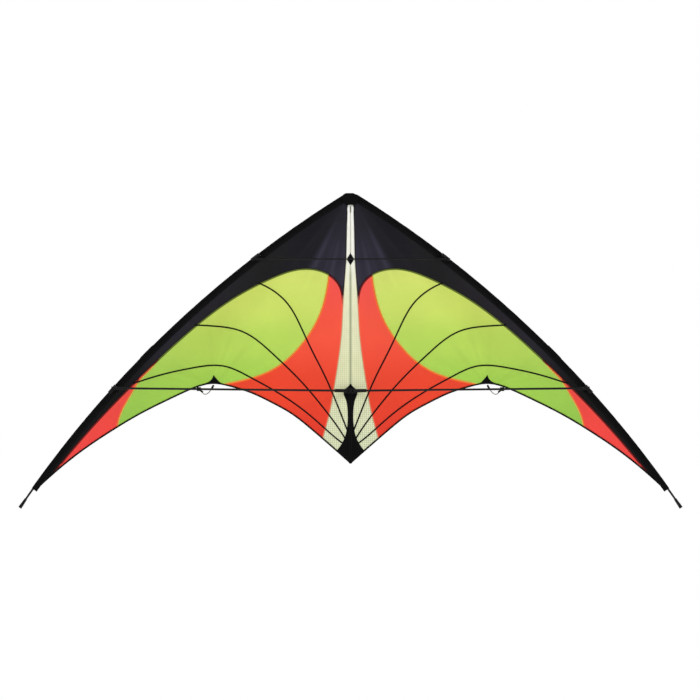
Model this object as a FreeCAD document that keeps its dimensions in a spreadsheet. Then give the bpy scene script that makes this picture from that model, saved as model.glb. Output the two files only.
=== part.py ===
import FreeCAD, Part
import math
import os
from FreeCAD import Placement, Rotation, Vector

# Two-line delta kite, upright: X is the span, Z points to the nose, Y is the depth. The spreaders
# are on the front (-Y) and the sail billows to +Y. The origin is the middle of the centre T, on
# the lower spreader's axis. Everything is in millimetres.

os.makedirs("parts", exist_ok=True)
doc = FreeCAD.newDocument("delta_kite")
sheet = doc.addObject("Spreadsheet::Sheet", "dims")

DIMS = [
    ("le_radius", 2607.6, "radius of the leading edge's bow, at the sleeve's outer edge"),
    ("le_centre_x", -1360.8, "centre of that bow"),
    ("le_centre_z", -1743.2, "centre of that bow"),
    ("nose_x", 16, "where each sleeve starts, on its outer edge"),
    ("tip_x", 765.6, "where each sleeve ends, on its outer edge"),
    ("sail_y", 7, "front of the cloth at the spine and along the leading edge"),
    ("cloth", 0.4, "thickness of a sail panel"),
    ("patch", 0.4, "thickness of a sewn-on patch or tape"),
    ("lay", 0.05, "air between a patch and the panel that it is sewn to"),
    ("billow", 115, "how far the standoffs push the trailing edge back"),
    ("standoff_x", 331, "where the standoff meets the trailing edge"),
    ("standoff_z", 15.6, "the same, height"),
    ("spine_wrap", 12, "how wide the cloth stays flat over the spine, each side"),
    ("centre_gap", 0.3, "half of the fold line between the two wings"),
    ("seam_width", 15, "leading edge sleeve with its sewn hem, across"),
    ("sleeve_od", 7.4, "sleeve around the leading edge rod"),
    ("sleeve_id", 6.2, "inside of that sleeve"),
    ("hem_gauge", 1.6, "thickness of the hem"),
    ("hem_width", 5.6, "hem that carries on past the connector cut-outs"),
    ("rod_od", 5, "leading edge rods and lower spreaders"),
    ("rod_id", 3.4, "bore of those tubes"),
    ("ferrule_od", 3.3, "rod that joins the two halves of a leading edge"),
    ("ferrule_length", 90, "its length"),
    ("upper_spreader_od", 3.2, "solid rod"),
    ("spine_od", 6, "spine tube"),
    ("spine_id", 4.4, "bore of the spine tube"),
    ("spine_y", 12.6, "axis of the spine, behind the cloth"),
    ("spine_top", 469, "top end of the spine"),
    ("spine_bottom", -173, "bottom end of the spine"),
    ("t_arm_od", 8, "arm of the centre T"),
    ("t_arm_end", 38, "how far the arm reaches from the middle"),
    ("t_neck_x", 8, "where the arm bends, from the middle"),
    ("t_lug", 1.7, "thickness of the cheeks that hold the arm"),
    ("pin_od", 2.4, "neck pin"),
    ("fit", 0.1, "added to a bore's diameter"),
    ("spreader_rise", 6, "how much higher the lower spreader's outer end is"),
    ("lower_joint_x", 571, "lower connector on the leading edge"),
    ("upper_joint_x", 228, "upper connector on the leading edge"),
    ("upper_spreader_y", 2, "axis of the upper spreader"),
    ("upper_spreader_z", 316, "height of the upper spreader"),
    ("collar_od", 10, "connector's collar around the leading edge rod"),
    ("collar_length", 24, "length of that collar"),
    ("lower_socket_od", 8.4, "socket for the lower spreader"),
    ("upper_socket_od", 6.4, "socket for the upper spreader"),
    ("cut_out", 30, "opening in the sleeve at a connector"),
    ("clip_x", 364, "standoff clip on the lower spreader"),
    ("clip_od", 9.4, "its outside"),
    ("clip_width", 10, "its width"),
    ("standoff_od", 2.2, "standoff rod"),
    ("ferrule_x", 487.5, "where the two leading edge rods meet"),
    ("binding", 3.5, "tape along the trailing edge, across"),
    ("rib", 3.4, "rib tape, across"),
    ("deep", 260, "cutting depth through the whole sail"),
]
for row, (alias, value, note) in enumerate(DIMS, 1):
    sheet.set(f"A{row}", alias)
    sheet.set(f"B{row}", str(value))
    sheet.set(f"C{row}", note)
    sheet.setAlias(f"B{row}", alias)
doc.recompute()


def dim(alias):
    return float(sheet.get(alias))


def add(kind, name, place=None, **props):
    o = doc.addObject(kind, name)
    o.Label = name
    for key, value in props.items():
        if isinstance(value, str) and key != "DirMode":
            o.setExpression(key, value)
        else:
            setattr(o, key, value)
    if place is not None:
        o.Placement = place
    return o


def cut(name, base, tool):
    return add("Part::Cut", name, Base=base, Tool=tool)


def fuse(name, *shapes):
    return add("Part::MultiFuse", name, Shapes=list(shapes))


def common(name, *shapes):
    return add("Part::MultiCommon", name, Shapes=list(shapes))


def along(start, direction):
    return Placement(Vector(*start), Rotation(Vector(0, 0, 1), Vector(*direction)))


def rod(name, start, direction, radius, length):
    return add("Part::Cylinder", name, along(start, direction), Radius=radius, Height=length)


def block(name, low, length, width, height):
    return add(
        "Part::Box", name, Placement(Vector(*low), Rotation()), Length=length, Width=width, Height=height
    )


nodes = []


def node(obj):
    nodes.append(obj)
    return obj


def both(obj):
    """Names a right-hand piece and adds its mirrored left-hand twin."""
    name = obj.Name
    obj.Label = "right_" + name
    twin = add("Part::Mirroring", "left_" + name, Source=obj, Base=Vector(0, 0, 0), Normal=Vector(1, 0, 0))
    nodes.extend([obj, twin])
    return obj


# ---- the leading edge's bow
R, CX, CZ = dim("le_radius"), dim("le_centre_x"), dim("le_centre_z")
AXIS_R = R - dim("sleeve_od") / 2
LE_Y = dim("sail_y") + dim("cloth") / 2


def angle_at(x, radius=R):
    return math.degrees(math.acos((x - CX) / radius))


def on_bow(angle, radius):
    a = math.radians(angle)
    return CX + radius * math.cos(a), CZ + radius * math.sin(a)


def bow_place(angle, y=LE_Y):
    turn = Rotation(Vector(1, 0, 0), 90).multiply(Rotation(Vector(0, 0, 1), angle))
    return Placement(Vector(CX, y, CZ), turn)


def bow_rod(name, radius, low, high):
    """A bowed rod between two angles, the tip's angle first."""
    return add(
        "Part::Torus",
        name,
        bow_place(low),
        Radius1="dims.le_radius - dims.sleeve_od / 2",
        Radius2=radius,
        Angle3=high - low,
    )


def bow_strip(name, inside, outside, gauge, low, high):
    """A flat strip that follows the bow."""
    place = bow_place(low, LE_Y + dim("hem_gauge") / 2)
    outer = add("Part::Cylinder", name + "_out", place, Radius=outside, Height=gauge, Angle=high - low)
    inner = add("Part::Cylinder", name + "_in", place, Radius=inside, Height=gauge, Angle=high - low)
    return cut(name, outer, inner)


NOSE, TIP = angle_at(dim("nose_x")), angle_at(dim("tip_x"))
UPPER, LOWER = angle_at(dim("upper_joint_x"), AXIS_R), angle_at(dim("lower_joint_x"), AXIS_R)
MIDDLE = angle_at(dim("ferrule_x"), AXIS_R)


def arc(length):
    return math.degrees(length / AXIS_R)


# leading edge tubes, their ferrule and the nock on the bare tip
TIP_END = TIP - arc(55)


def bow_tube(name, low, high):
    return cut(
        name,
        bow_rod(name + "_out", "dims.rod_od / 2", low, high),
        bow_rod(name + "_bore", "dims.rod_id / 2", low, high),
    )


both(bow_tube("upper_leading_edge", MIDDLE + arc(0.15), NOSE - arc(2)))
both(bow_tube("lower_leading_edge", TIP_END + arc(9), MIDDLE - arc(0.15)))
both(
    bow_rod(
        "leading_edge_ferrule",
        "dims.ferrule_od / 2",
        MIDDLE - arc(dim("ferrule_length") / 2),
        MIDDLE + arc(dim("ferrule_length") / 2),
    )
)

nx, nz = on_bow(TIP_END + arc(26), AXIS_R)
a = math.radians(TIP_END + arc(13))
out = (math.sin(a), 0, -math.cos(a))
nock_body = add(
    "Part::Cone",
    "nock_body",
    along((nx, LE_Y, nz), out),
    Radius1="dims.rod_od / 2 + 0.7",
    Radius2="dims.rod_od / 2 + 1.9",
    Height=26,
)
nock_bore = rod("nock_bore", (nx - out[0], LE_Y, nz - out[2]), out, "(dims.rod_od + dims.fit) / 2", 19)
nock_slot = add(
    "Part::Box",
    "nock_slot",
    Placement(Vector(nx, LE_Y, nz), Rotation(Vector(0, 0, 1), Vector(*out)))
    .multiply(Placement(Vector(-6, -1, 20.5), Rotation())),
    Length=12,
    Width=2,
    Height=7,
)
both(cut("tip_nock", cut("nock_hollow", nock_body, nock_bore), nock_slot))


# ---- leading edge sleeve in three lengths, with its hem running past the connectors
def sleeve(name, low, high, hem_high):
    tube = bow_rod(name + "_tube", "dims.sleeve_od / 2", low, high)
    neck = bow_strip(
        name + "_neck",
        "dims.le_radius - dims.seam_width + dims.hem_width - 0.2",
        "dims.le_radius - dims.sleeve_od + 0.7",
        "dims.hem_gauge",
        low,
        high,
    )
    hem = bow_strip(
        name + "_hem",
        "dims.le_radius - dims.seam_width",
        "dims.le_radius - dims.seam_width + dims.hem_width",
        "dims.hem_gauge",
        low,
        hem_high,
    )
    bore = bow_rod(name + "_bore", "dims.sleeve_id / 2", low - 0.1, high + 0.1)
    return both(cut(name, fuse(name + "_cloth", tube, neck, hem), bore))


HALF = arc(dim("cut_out") / 2)
sleeve("lower_sleeve", TIP, LOWER - HALF, LOWER + HALF)
sleeve("middle_sleeve", LOWER + HALF, UPPER - HALF, UPPER + HALF)
sleeve("upper_sleeve", UPPER + HALF, NOSE, NOSE)

wrap = bow_rod("wrap_out", "dims.sleeve_od / 2 + 1", MIDDLE - arc(22), MIDDLE + arc(22))
wrap_bore = bow_rod("wrap_bore", "dims.sleeve_od / 2 + dims.lay", MIDDLE - arc(23), MIDDLE + arc(23))
wrap_slot = bow_strip(
    "wrap_slot",
    "dims.le_radius - dims.seam_width",
    "dims.le_radius - dims.sleeve_od + 1",
    "dims.hem_gauge + 0.1",
    MIDDLE - arc(23),
    MIDDLE + arc(23),
)
wrap_slot.Placement = Placement(Vector(0, 0.05, 0), Rotation())
both(cut("ferrule_patch", cut("wrap_ring", wrap, wrap_bore), wrap_slot))


# ---- the sail: a smooth tent between the spine and the leading edge, highest at the standoffs
def inside_seam(x, z):
    return R - dim("seam_width") - math.hypot(x - CX, z - CZ)


FLAT = dim("spine_wrap")
SPINE_SLOPE = dim("billow") / (math.hypot(dim("standoff_x"), FLAT) - FLAT)
SEAM_SLOPE = dim("billow") / inside_seam(dim("standoff_x"), dim("standoff_z"))
SHARP = 2.6


def depth(x, z):
    a = SPINE_SLOPE * (math.hypot(x, FLAT) - FLAT)
    b = SEAM_SLOPE * inside_seam(x, z)
    if a <= 1e-6 or b <= 1e-6:
        return 0.0
    return (0.5 * (a**-SHARP + b**-SHARP)) ** (-1 / SHARP)


def sail_point(s, t):
    """s runs from the nose to below the trailing edge, t from the spine to the sleeve."""
    a = NOSE + 0.15 + (TIP - 0.9 - NOSE - 0.15) * s
    lx, lz = on_bow(a, R - dim("seam_width") - 0.02)
    z0 = 466.2 + (-215 - 466.2) * s
    x0 = dim("centre_gap")
    x, z = x0 + (lx - x0) * t, z0 + (lz - z0) * t
    return Vector(x, dim("sail_y") + depth(x, z), z)


rows, columns = 26, 30
grid = [[sail_point(i / (rows - 1), (j / (columns - 1)) ** 1.7) for j in range(columns)] for i in range(rows)]
surface = Part.BSplineSurface()
surface.interpolate(grid)
sail_face = doc.addObject("Part::Feature", "sail_face")
sail_face.Shape = surface.toShape()
front_face = doc.addObject("Part::Feature", "front_face")
front_face.Shape = surface.toShape()
front_face.Placement = Placement(Vector(0, -dim("patch") - dim("lay"), 0), Rotation())
cloth = add("Part::Extrusion", "cloth_layer", Base=sail_face, DirMode="Custom", Dir=Vector(0, 1, 0), LengthFwd="dims.cloth")
tape = add("Part::Extrusion", "tape_layer", Base=front_face, DirMode="Custom", Dir=Vector(0, 1, 0), LengthFwd="dims.patch")
edge = add(
    "Part::Extrusion",
    "edge_layer",
    Base=front_face,
    DirMode="Custom",
    Dir=Vector(0, 1, 0),
    LengthFwd="dims.cloth + 2 * dims.patch + 2 * dims.lay",
)


def curve(points):
    c = Part.BSplineCurve()
    c.interpolate([Vector(x, -20, z) for x, z in points])
    return c.toShape()


def region(name, edges):
    """A prism through the sail, from an outline of splines (lists) and corners."""
    ends = []
    wires = []
    for part in edges:
        if isinstance(part, list):
            wires.append(curve(part))
            ends.append((part[0], part[-1]))
        else:
            ends.append((part, part))
    for (_, last), (first, _) in zip(ends, ends[1:] + ends[:1]):
        wires.append(Part.makeLine(Vector(last[0], -20, last[1]), Vector(first[0], -20, first[1])))
    outline = doc.addObject("Part::Feature", name + "_outline")
    outline.Shape = Part.Face(Part.Wire(Part.__sortEdges__(wires)))
    return add("Part::Extrusion", name, Base=outline, DirMode="Custom", Dir=Vector(0, 1, 0), LengthFwd="dims.deep")


def shifted(points, by):
    """The points of a line moved sideways, to the left of the way it runs."""
    moved = []
    for i, (x, z) in enumerate(points):
        before, after = points[max(i - 1, 0)], points[min(i + 1, len(points) - 1)]
        dx, dz = after[0] - before[0], after[1] - before[1]
        n = math.hypot(dx, dz)
        moved.append((x - by * dz / n, z + by * dx / n))
    return moved


# trailing edge, from the tail to the tip, as it hangs between the tail, the standoff and the tip
TRAILING = [
    (-24, -197), (0, -176), (48, -134), (96, -93), (144, -56), (192, -29.5), (240, -7), (288, 8),
    (330, 15.6), (384, 2), (432, -20), (504, -56), (576, -99), (648, -148), (720, -207), (758, -242),
    (800, -282),
]
above = [(900, 620), (-40, 620)]
sail_region = region("sail_region", [TRAILING, *above])
panel_region = region("panel_region", [shifted(TRAILING, dim("binding")), *above])

CREAM = [
    (0, 449), (4.5, 448), (7, 443.5), (7.6, 432), (8.2, 405), (9, 375), (10.6, 315), (17.3, 218), (21, 146),
    (39.4, 6.5), (48.7, -46), (68, -119), (80, -165),
]
cream_region = region("cream_region", [CREAM, (80, -260), (-40, -260), (-40, 449)])
BLACK = [
    (8, 180), (15.6, 203), (18, 226), (24, 249), (33, 263.5), (45, 275), (58, 283), (72, 288.6), (90, 292.6),
    (120, 293), (192, 270.5), (288, 219), (384, 146), (480, 58), (576, -38), (648, -117), (720, -205), (750, -244),
]
black_region = region("black_region", [BLACK, (900, -300), (900, 620), (-40, 620), (-40, 180)])
GREEN_IN = [(50, 300), (53.5, 272), (72, 191), (96, 143), (120, 110), (168, 64), (216, 38.5), (264, 24.5), (307, 15), (340, 5)]
inner_region = region("inner_region", [GREEN_IN, (340, -320), (-40, -320), (-40, 300)])
GREEN_OUT = [
    (440, 118), (451, 92), (464, 71), (485, 47), (510, 19.5), (524, -4), (540, -31), (551.5, -54), (560, -82),
    (566, -124),
]
tip_region = region("tip_region", [GREEN_OUT, (566, -420), (960, -420), (960, 118)])

opening = block("t_opening", (-5, -20, -8), 10, 60, 16)
panels = common("panels", cloth, panel_region)
both(cut("centre_panel", common("centre_cloth", panels, cream_region), opening))
coloured = cut("coloured_cloth", panels, cream_region)
both(common("leading_edge_panel", coloured, black_region))
bright = cut("bright_cloth", coloured, black_region)
both(common("inner_panel", bright, inner_region))
both(common("tip_panel", bright, tip_region))
both(cut("main_panel", cut("main_inner", bright, inner_region), tip_region))

# tape along the trailing edge, and the black patches that lie on the front of the cloth
TAIL_PATCH = [(0, 18), (7, 9), (14, 2), (16.4, -3), (12.2, -19), (7.6, -40), (6.6, -62), (8, -86), (15, -115), (31.4, -142), (60, -175)]
tail_region = region("tail_region", [TAIL_PATCH, (60, -240), (-40, -240), (-40, 18)])
both(cut("tail_patch", common("tail_cloth", tape, panel_region, tail_region), opening))
both(cut("trailing_edge_binding", common("edge_cloth", edge, sail_region), panel_region))
sx, sz = dim("standoff_x"), dim("standoff_z")
STANDOFF_PATCH = [
    [(sx - 31, sz - 6), (sx - 18, sz + 2), (sx - 9, sz + 11), (sx - 1, sz + 21)],
    [(sx, sz + 21), (sx + 10, sz + 6), (sx + 21, sz), (sx + 32, sz - 7)],
]
patch_region = region("patch_region", [*STANDOFF_PATCH, (sx + 32, sz - 40), (sx - 31, sz - 40)])
both(common("standoff_patch", tape, panel_region, patch_region))


# rib tapes that fan out from the tail patch to the black panel
def rib(name, line):
    half = dim("rib") / 2
    strip = region(name + "_strip", [shifted(line, half), shifted(line, -half)[::-1]])
    return both(cut(name, common(name + "_cloth", tape, panel_region, strip), tail_region))


rib("upper_rib", [(4, -105), (11, -87), (38, -19), (64, 40), (91, 93), (118, 150), (155.5, 214), (190, 243), (221, 258.5)])
rib("middle_rib", [(8, -124), (16, -110), (64, -43), (118, 21), (188, 89), (263, 143), (327, 155), (374, 157.5)])
rib("lower_rib", [(12, -131), (22, -124), (91, -65), (172, -7), (246, 34), (304, 58.5), (380, 54.5), (455, 38), (522, 17)])

# ---- the centre: spine with its fittings
node(
    cut(
        "spine",
        rod("spine_out", (0, dim("spine_y"), dim("spine_bottom")), (0, 0, 1), "dims.spine_od / 2", "dims.spine_top - dims.spine_bottom"),
        rod("spine_bore", (0, dim("spine_y"), dim("spine_bottom")), (0, 0, 1), "dims.spine_id / 2", "dims.spine_top - dims.spine_bottom"),
    )
)
pocket_out = rod("pocket_out", (0, dim("spine_y"), dim("spine_bottom") - 2), (0, 0, 1), "dims.spine_od / 2 + 1.2", 28)
pocket_bore = rod("pocket_bore", (0, dim("spine_y"), dim("spine_bottom")), (0, 0, 1), "(dims.spine_od + dims.fit) / 2", 40)
node(cut("tail_pocket", pocket_out, pocket_bore))

# nose strap: a shaped front plate, a bridge over the spine and a narrow strap down its back
plate = doc.addObject("Part::Feature", "nose_outline")
corners = [(14, 474.5)] + [(19, 471), (20.5, 463), (12, 446)] + [(-12, 446), (-20.5, 463), (-19, 471), (-14, 474.5)]
plate.Shape = Part.Face(Part.makePolygon([Vector(x, 2, z) for x, z in corners + corners[:1]]))
front = add("Part::Extrusion", "nose_plate", Base=plate, DirMode="Custom", Dir=Vector(0, 1, 0), LengthFwd=1.2)
bridge = block("nose_bridge", (-5, 2, 471.5), 10, "dims.spine_y + 2.8", 3)
back = block("nose_strap", (-5, dim("spine_y") + 3.6, 436), 10, 1.2, 38.5)
node(fuse("nose_webbing", front, bridge, back))
diamond = doc.addObject("Part::Feature", "diamond_outline")
zc = dim("upper_spreader_z")
diamond.Shape = Part.Face(
    Part.makePolygon([Vector(x, dim("sail_y") - 0.6, zc + z) for x, z in [(0, 15), (9, 0), (0, -15), (-9, 0), (0, 15)]])
)
node(add("Part::Extrusion", "spine_patch", Base=diamond, DirMode="Custom", Dir=Vector(0, 1, 0), LengthFwd="dims.patch"))

# centre T: a sleeve on the spine, a neck through the opening and two cheeks with the arm pins
NX = dim("t_neck_x")
hub = [
    rod("hub_sleeve", (0, dim("spine_y"), -14), (0, 0, 1), "dims.spine_od / 2 + 2", 28),
    block("hub_neck", (-3.5, -3.5, -6), 7, "dims.spine_y + 1", 12),
]
for i, z in enumerate((4.3, -6.0)):
    hub.append(block(f"cheek_{i}", (-NX, -4, z), 2 * NX, 8, "dims.t_lug"))
    for side in (-1, 1):
        hub.append(rod(f"cheek_end_{i}_{side + 1}", (side * NX, 0, z), (0, 0, 1), "dims.t_arm_od / 2", "dims.t_lug"))
for side in (-1, 1):
    hub.append(rod(f"neck_pin_{side + 1}", (side * NX, 0, -5), (0, 0, 1), "dims.pin_od / 2", 10))
hub_body = fuse("hub_body", *hub)
hub_bore = rod("hub_bore", (0, dim("spine_y"), -20), (0, 0, 1), "(dims.spine_od + dims.fit) / 2", 40)
node(cut("centre_t", hub_body, hub_bore))

# ---- lower spreaders with the arms of the T
JX = dim("lower_joint_x")
tilt = math.atan2(dim("spreader_rise"), JX - NX)
way = (math.cos(tilt), 0, math.sin(tilt))


def spreader_at(x):
    return (x, 0, (x - NX) * math.tan(tilt))


knuckle = rod("knuckle", (NX, 0, -4.1), (0, 0, 1), "dims.t_arm_od / 2", 8.2)
arm = rod("arm", spreader_at(NX), way, "dims.t_arm_od / 2", "dims.t_arm_end - dims.t_neck_x")
arm_bore = rod("arm_bore", spreader_at(15), way, "(dims.rod_od + dims.fit) / 2", 60)
pin_bore = rod("pin_bore", (NX, 0, -10), (0, 0, 1), "(dims.pin_od + dims.fit * 2) / 2", 20)
both(cut("t_arm", cut("arm_hollow", fuse("arm_body", knuckle, arm), arm_bore), pin_bore))
START, END = 15.5, JX - 5
both(
    cut(
        "lower_spreader",
        rod("lower_spreader_out", spreader_at(START), way, "dims.rod_od / 2", (END - START) / way[0]),
        rod("lower_spreader_bore", spreader_at(START), way, "dims.rod_id / 2", (END - START) / way[0]),
    )
)


# ---- leading edge connectors: a collar on the rod, an offset socket in front
def connector(name, angle, socket_y, socket_z, way, reach, set_in, socket, rod_size):
    x, z = on_bow(angle, AXIS_R)
    turn = math.radians(angle)
    down = (math.sin(turn), 0, -math.cos(turn))
    half = dim("collar_length") / 2
    collar = rod(name + "_collar", (x - down[0] * half, LE_Y, z - down[2] * half), down, "dims.collar_od / 2", "dims.collar_length")
    length = reach + 3
    ex, ez = x + 3, socket_z + 3 * way[2] / way[0]
    tube = rod(name + "_socket", (ex, socket_y, ez), (-way[0], 0, -way[2]), socket + " / 2", length)
    post = rod(name + "_post", (x - set_in, socket_y, socket_z), (0, 1, 0), socket + " / 2 - 0.6", LE_Y - socket_y)
    body = fuse(name + "_body", collar, tube, post)
    bx, bz = x - 4.5, socket_z - 4.5 * way[2] / way[0]
    socket_bore = rod(name + "_socket_bore", (bx, socket_y, bz), (-way[0], 0, -way[2]), f"({rod_size} + 2 * dims.fit) / 2", 80)
    rod_bore = rod(name + "_rod_bore", (x - down[0] * 40, LE_Y, z - down[2] * 40), down, "(dims.rod_od + 2 * dims.fit) / 2", 80)
    return both(cut(name, cut(name + "_hollow", body, rod_bore), socket_bore))


connector(
    "lower_connector", LOWER, 0, spreader_at(JX)[2], way, 32, 3, "dims.lower_socket_od", "dims.rod_od"
)
connector(
    "upper_connector", UPPER, dim("upper_spreader_y"), zc, (1, 0, 0), 26, 0, "dims.upper_socket_od", "dims.upper_spreader_od"
)
UX = on_bow(UPPER, AXIS_R)[0] - 5
node(rod("upper_spreader", (-UX, dim("upper_spreader_y"), zc), (1, 0, 0), "dims.upper_spreader_od / 2", 2 * UX))

# ---- standoffs: a clip on the spreader, a stem, and a bowed rod to a socket on the trailing edge
cx, _, cz = spreader_at(dim("clip_x"))
half = dim("clip_width") / 2
ring = rod("clip_ring", (cx - half * way[0], 0, cz - half * way[2]), way, "dims.clip_od / 2", "dims.clip_width")
root, middle, end = Vector(357.5, 9, -1.5), Vector(346, 66, -8), Vector(332, 117, 10)
heading = root - Vector(cx, 0, cz)
stem = rod("clip_stem", (cx, 0, cz), tuple(heading), 2.3, heading.Length + 4)
clip_bore = rod("clip_bore", (cx - 30 * way[0], 0, cz - 30 * way[2]), way, "(dims.rod_od + 2 * dims.fit) / 2", 60)
bow = doc.addObject("Part::Feature", "standoff_line")
bow.Shape = Part.Wire(Part.Arc(root, middle, end).toShape())
line = bow.Shape.Edges[0]
lead = line.tangentAt(line.FirstParameter)
tail = line.tangentAt(line.LastParameter)
profile = add("Part::Circle", "standoff_profile", along(tuple(root), tuple(lead)), Radius="dims.standoff_od / 2")
stick = add("Part::Sweep", "standoff_rod", Sections=[profile], Spine=(bow, ["Edge1"]), Solid=True, Frenet=False)
hole = add("Part::Circle", "stem_hole", along(tuple(root), tuple(lead)), Radius="dims.standoff_od / 2 + dims.lay")
hole_run = add("Part::Sweep", "stem_hole_run", Sections=[hole], Spine=(bow, ["Edge1"]), Solid=True, Frenet=False)
both(cut("standoff_clip", cut("clip_hollow", fuse("clip_body", ring, stem), clip_bore), hole_run))
both(stick)
seat = end - tail * 9
socket_out = rod("socket_out", tuple(seat), tuple(tail), 2.5, 12)
socket_bore = rod("socket_bore", tuple(seat - tail * 5), tuple(tail), "dims.standoff_od / 2 + 0.55", 14.5)
both(cut("standoff_socket", socket_out, socket_bore))

doc.recompute()
bad = [o.Name for o in doc.Objects if "Invalid" in o.State or "Error" in o.State]
if bad:
    raise SystemExit(f"objects in error: {bad}")
for obj in nodes:
    shape = obj.Shape
    if shape.isNull() or not shape.isValid() or len(shape.Solids) != 1:
        raise SystemExit(f"{obj.Label}: {len(shape.Solids)} solids, valid {not shape.isNull() and shape.isValid()}")
for obj in nodes:
    obj.Shape.exportStep(os.path.join("parts", obj.Label + ".step"))
print(len(nodes), "parts")
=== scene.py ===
import math
import bmesh
import bpy
import numpy as np
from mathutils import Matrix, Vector, geometry, kdtree, noise


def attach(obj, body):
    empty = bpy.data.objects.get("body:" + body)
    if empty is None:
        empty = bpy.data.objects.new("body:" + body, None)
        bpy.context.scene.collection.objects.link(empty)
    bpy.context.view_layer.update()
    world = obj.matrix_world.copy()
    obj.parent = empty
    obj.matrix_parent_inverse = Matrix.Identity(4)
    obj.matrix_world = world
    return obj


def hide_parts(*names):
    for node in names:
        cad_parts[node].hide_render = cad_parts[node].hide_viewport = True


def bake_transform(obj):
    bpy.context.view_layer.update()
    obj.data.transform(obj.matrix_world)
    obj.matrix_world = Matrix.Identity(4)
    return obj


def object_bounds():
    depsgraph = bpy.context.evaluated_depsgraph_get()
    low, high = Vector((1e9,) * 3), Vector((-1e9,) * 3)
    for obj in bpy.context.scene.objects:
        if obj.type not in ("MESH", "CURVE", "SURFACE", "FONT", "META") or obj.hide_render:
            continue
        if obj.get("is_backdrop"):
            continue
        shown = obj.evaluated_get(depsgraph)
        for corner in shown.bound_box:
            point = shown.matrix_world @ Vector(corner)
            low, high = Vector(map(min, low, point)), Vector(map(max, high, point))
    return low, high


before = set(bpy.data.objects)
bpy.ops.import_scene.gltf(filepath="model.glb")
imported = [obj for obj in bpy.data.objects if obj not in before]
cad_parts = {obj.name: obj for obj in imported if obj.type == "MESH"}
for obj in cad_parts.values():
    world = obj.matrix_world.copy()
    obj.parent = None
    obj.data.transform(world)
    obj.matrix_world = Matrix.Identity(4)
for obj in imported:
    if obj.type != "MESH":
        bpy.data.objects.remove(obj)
cad_low, cad_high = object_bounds()

# ---------------------------------------------------------------- camera, lights, stage
CAM_FAR, VIEW_WIDTH, SENSOR = 20.0, 1.68, 36
MIDDLE_X, MIDDLE_Z = -0.0012, 0.0977
cam_data = bpy.data.cameras.new("camera")
cam_data.sensor_width = SENSOR
cam_data.lens = SENSOR * CAM_FAR / VIEW_WIDTH
cam = bpy.data.objects.new("camera", cam_data)
bpy.context.collection.objects.link(cam)
cam.location = (MIDDLE_X, -CAM_FAR, MIDDLE_Z)
cam.rotation_euler = (math.pi / 2, 0, 0)
bpy.context.scene.camera = cam


def linear(value):
    """One sRGB channel, 0 to 255, as the linear value that Blender takes."""
    v = value / 255
    return v / 12.92 if v <= 0.04045 else ((v + 0.055) / 1.055) ** 2.4


def srgb(r, g, b):
    return (linear(r), linear(g), linear(b), 1)


# A white surround: full white behind the kite, and softer as a light on it.
SURROUND_LIGHT, SURROUND_SEEN = 0.72, 1.0
bpy.context.scene.view_settings.view_transform = "Standard"
world = bpy.data.worlds.new("studio")
bpy.context.scene.world = world
world.use_nodes = True
sky = world.node_tree.nodes["Background"]
sky.inputs[0].default_value = (1, 1, 1, 1)
seen = world.node_tree.nodes.new("ShaderNodeLightPath")
level = world.node_tree.nodes.new("ShaderNodeMapRange")
level.inputs["To Min"].default_value = SURROUND_LIGHT
level.inputs["To Max"].default_value = SURROUND_SEEN
world.node_tree.links.new(seen.outputs["Is Camera Ray"], level.inputs["Value"])
world.node_tree.links.new(level.outputs[0], sky.inputs[1])


AIM = (0, 0, 0.1)


def area_light(name, place, size, power):
    """A square soft lamp, in metres and watts, turned to the middle of the kite."""
    data = bpy.data.lights.new(name, "AREA")
    data.energy, data.size = power, size
    o = bpy.data.objects.new(name, data)
    bpy.context.collection.objects.link(o)
    o.location = place
    o.rotation_euler = (Vector(AIM) - Vector(place)).to_track_quat("-Z", "Y").to_euler()


area_light("key", (-1.8, -3.2, 3.2), 2.2, 64)
area_light("fill", (2.8, -3.4, 0.9), 2.6, 26)
area_light("back", (0.6, 3.6, 2.2), 2.6, 34)


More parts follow.
